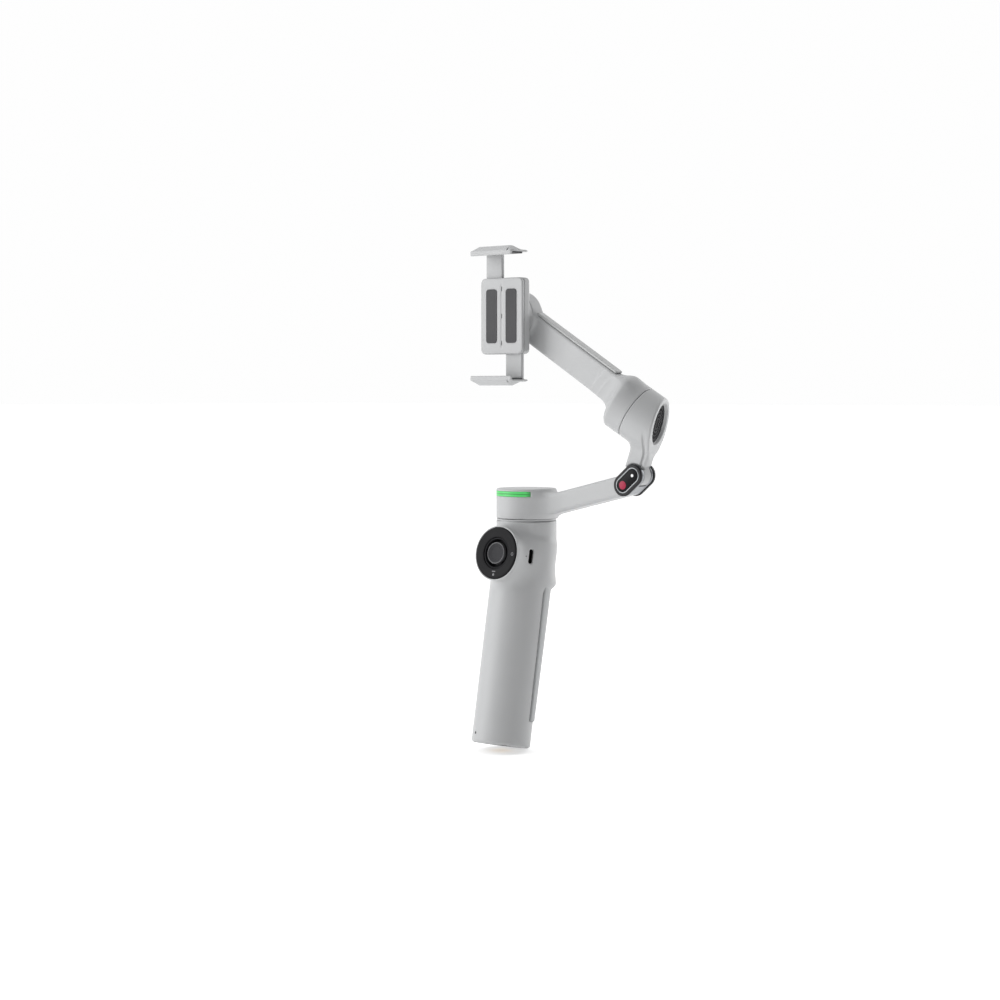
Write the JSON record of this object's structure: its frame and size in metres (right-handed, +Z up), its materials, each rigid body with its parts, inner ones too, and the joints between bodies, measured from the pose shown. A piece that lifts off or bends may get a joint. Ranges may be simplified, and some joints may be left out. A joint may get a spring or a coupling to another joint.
{
  "type": "phone gimbal stabilizer",
  "caption": "Handheld phone gimbal: tilted grip with joystick and extension rod, panning arm, folding knuckle, inclined tilt motor, roll motor and phone clamp.",
  "frame": {"origin": "mouth of the tripod thread, at the middle of the grip's base", "axes": "+X to the user's right, +Y away from the user along the phone's viewing direction, +Z up along the pan axis"},
  "size_m": [0.1277, 0.0648, 0.3169],
  "materials": {
    "body_grey": "fine satin moulding",
    "panel_grey": "soft-touch matt",
    "strip_grey": "satin",
    "inner_plastic": "matt, glass filled",
    "control_black": "semi-gloss",
    "stick_rubber": "fine textured",
    "cap_black": "satin",
    "trim_silver": "turned and anodised",
    "red_inlay": "gloss",
    "white_inlay": "gloss",
    "light_green": "lit light guide",
    "pad_rubber": "matt ribbed",
    "brass": "machined",
    "steel": "ground",
    "rod_metal": "dark anodised",
    "board_green": "solder mask",
    "battery_wrap": "shrink wrap",
    "winding": "enamelled copper",
    "magnet": "nickel plated"
  },
  "bodies": {
    "handle": {"grip_casing": "body_grey", "rear_grip_panel": "panel_grey", "base_cap": "body_grey", "thread_insert": "brass", "inner_frame": "inner_plastic", "base_screws": "steel", "battery": "battery_wrap", "main_board": "board_green", "usb_c_socket": "steel", "trigger_pin": "steel", "trigger_springs": "steel", "joystick_well": "control_black", "joystick_base": "inner_plastic", "control_board": "board_green", "rod_guide": "rod_metal"},
    "power_button": {"power_button": "body_grey"},
    "trigger": {"trigger": "body_grey"},
    "control_ring": {"control_ring": "control_black"},
    "joystick_yoke": {"joystick_yoke": "inner_plastic"},
    "joystick": {"joystick": "stick_rubber"},
    "rod_1": {"rod_stage_1": "rod_metal"},
    "rod_2": {"rod_stage_2": "rod_metal"},
    "rod_3": {"rod_stage_3": "rod_metal", "pan_base": "body_grey", "pan_stator": "winding", "pan_bearing": "steel"},
    "pan_arm": {"pan_housing": "body_grey", "pan_top_cap": "body_grey", "status_light": "light_green", "pan_magnet_ring": "magnet", "pan_shaft": "steel", "knuckle_front_cap": "cap_black", "knuckle_rear_cap": "cap_black", "knuckle_trim": "trim_silver", "knuckle_lens": "control_black", "knuckle_red_inlay": "red_inlay", "knuckle_white_inlay": "white_inlay", "fold_pin": "steel"},
    "upper_arm": {"upper_arm": "body_grey", "tilt_stator": "winding", "tilt_bearing": "steel", "vent_grille": "cap_black"},
    "inner_arm": {"inner_arm": "body_grey", "inner_arm_strip": "strip_grey", "tilt_magnet_ring": "magnet", "tilt_shaft": "steel", "roll_stator": "winding", "roll_bearing": "steel"},
    "clamp": {"roll_rotor_plate": "body_grey", "roll_magnet_ring": "magnet", "roll_shaft": "steel", "clamp_body": "body_grey", "clamp_cover": "body_grey", "clamp_screws": "steel", "clamp_spring_drums": "steel", "clamp_face_pads": "pad_rubber"},
    "upper_jaw": {"upper_jaw": "body_grey", "upper_jaw_pad": "pad_rubber"},
    "lower_jaw": {"lower_jaw": "body_grey", "lower_jaw_pad": "pad_rubber"}
  },
  "joints": [
    {"name": "power_press", "type": "slide", "parent": "handle", "child": "power_button", "axis": [1, 0, 0], "range_m": [0, 0.0006], "stiffness_N_per_m": 2500, "springref_m": -0.0004},
    {"name": "trigger_pull", "type": "hinge", "parent": "handle", "child": "trigger", "pos_m": [0, 0.0416, 0.1216], "axis": [-1, 0, 0], "range_deg": [0, 8], "stiffness_Nm_per_rad": 0.12, "springref_deg": -11.46},
    {"name": "ring_press", "type": "slide", "parent": "handle", "child": "control_ring", "axis": [0, 0.9816, -0.1908], "range_m": [0, 0.0005], "stiffness_N_per_m": 2500, "springref_m": -0.0004},
    {"name": "stick_across", "type": "hinge", "parent": "handle", "child": "joystick_yoke", "pos_m": [0, 0.00463, 0.11921], "axis": [0, 0.1908, 0.9816], "range_deg": [-8, 8], "stiffness_Nm_per_rad": 0.02},
    {"name": "stick_along", "type": "hinge", "parent": "joystick_yoke", "child": "joystick", "pos_m": [0, 0.00463, 0.11921], "axis": [1, 0, 0], "range_deg": [-8, 8], "stiffness_Nm_per_rad": 0.02},
    {"name": "rod_out", "type": "slide", "parent": "handle", "child": "rod_1", "axis": [0, 0.1908, 0.9816], "range_m": [0, 0.07]},
    {"name": "rod_out_2", "type": "slide", "parent": "rod_1", "child": "rod_2", "axis": [0, 0.1908, 0.9816], "range_m": [0, 0.07]},
    {"name": "rod_out_3", "type": "slide", "parent": "rod_2", "child": "rod_3", "axis": [0, 0.1908, 0.9816], "range_m": [0, 0.07]},
    {"name": "pan", "type": "hinge", "parent": "rod_3", "child": "pan_arm", "pos_m": [0, 0.0258, 0.152], "axis": [0, 0, 1], "continuous": true},
    {"name": "fold", "type": "hinge", "parent": "pan_arm", "child": "upper_arm", "pos_m": [0.0887, 0.0258, 0.171], "axis": [0, 1, 0], "range_deg": [0, 105]},
    {"name": "tilt", "type": "hinge", "parent": "upper_arm", "child": "inner_arm", "pos_m": [0.0868, 0.0258, 0.2093], "axis": [0.7996, 0.2303, -0.5546], "range_deg": [-80, 80]},
    {"name": "roll", "type": "hinge", "parent": "inner_arm", "child": "clamp", "pos_m": [0, 0.0123, 0.2695], "axis": [0, 1, 0], "range_deg": [-100, 100]},
    {"name": "jaws_open", "type": "slide", "parent": "clamp", "child": "upper_jaw", "axis": [0, 0, 1], "range_m": [-0.0095, 0.0065]},
    {"name": "jaws_open_lower", "type": "slide", "parent": "clamp", "child": "lower_jaw", "axis": [0, 0, -1], "range_m": [-0.0095, 0.0065]}
  ],
  "couplings": [
    {"joint": "rod_out_2", "follows": "rod_out", "ratio": 1},
    {"joint": "rod_out_3", "follows": "rod_out", "ratio": 1},
    {"joint": "jaws_open_lower", "follows": "jaws_open", "ratio": 1}
  ]
}
